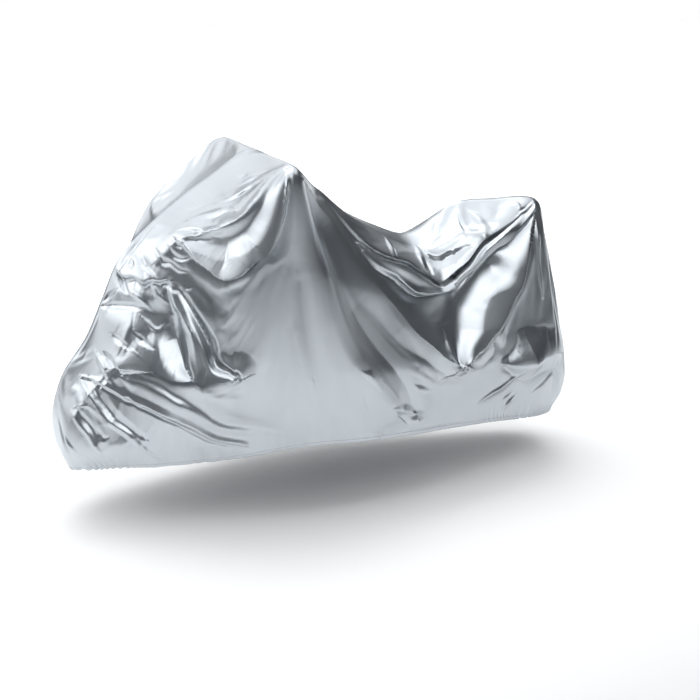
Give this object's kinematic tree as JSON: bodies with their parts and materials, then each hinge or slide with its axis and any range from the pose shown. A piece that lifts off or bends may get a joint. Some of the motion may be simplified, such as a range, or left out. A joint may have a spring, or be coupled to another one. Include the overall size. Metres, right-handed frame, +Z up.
{
  "type": "motorcycle cover",
  "caption": "Fitted motorcycle cover of thin silver-coated cloth, hollow, hanging in swags and folds between its peaks, dip and tail, with an elastic hem.",
  "frame": {"origin": "the middle of the cover's length and width, at the height of the lowest point of its hem", "axes": "+X from the front to the rear, +Y towards the rider's right, +Z up"},
  "size_m": [1.8097, 0.732, 1.0089],
  "materials": {
    "silver_cloth": "thin woven polyester with a silver coating, soft metallic sheen, creased"
  },
  "bodies": {
    "root": {"panel_left": "silver_cloth", "panel_right": "silver_cloth"}
  },
  "joints": []
}
